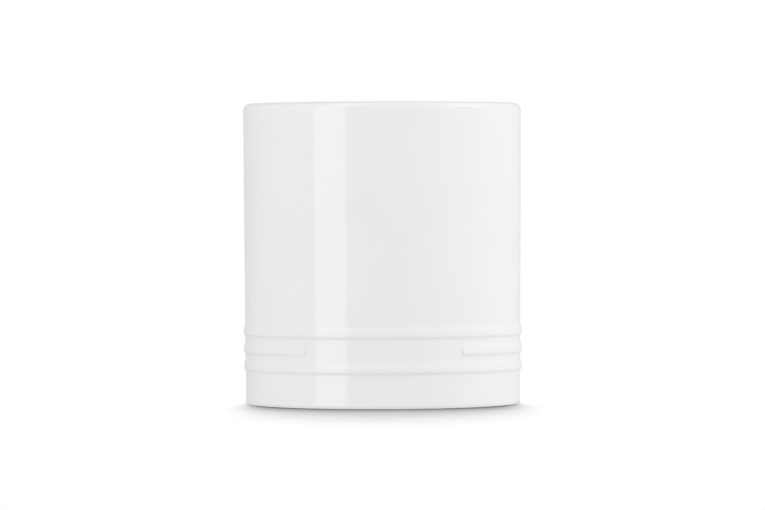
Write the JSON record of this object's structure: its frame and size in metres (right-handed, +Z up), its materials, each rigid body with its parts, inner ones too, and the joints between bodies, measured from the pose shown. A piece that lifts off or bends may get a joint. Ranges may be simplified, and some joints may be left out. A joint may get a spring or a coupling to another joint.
{
  "type": "utensil crock",
  "caption": "Round glazed stoneware crock, open at the top, with a rounded lip and low relief rings near the foot, that keeps cooking utensils upright on a worktop.",
  "frame": {"origin": "centre of the foot, on the surface that the crock stands on", "axes": "+Z up along the pot's axis, -Y towards the front, where the middle relief ring is interrupted"},
  "size_m": [0.1576, 0.1576, 0.17],
  "materials": {
    "bare_clay": "matte",
    "white_glaze": "gloss"
  },
  "bodies": {
    "root": {"stoneware_body": "bare_clay", "outer_glaze": "white_glaze", "liner_glaze": "white_glaze", "underside_glaze": "white_glaze"}
  },
  "joints": []
}
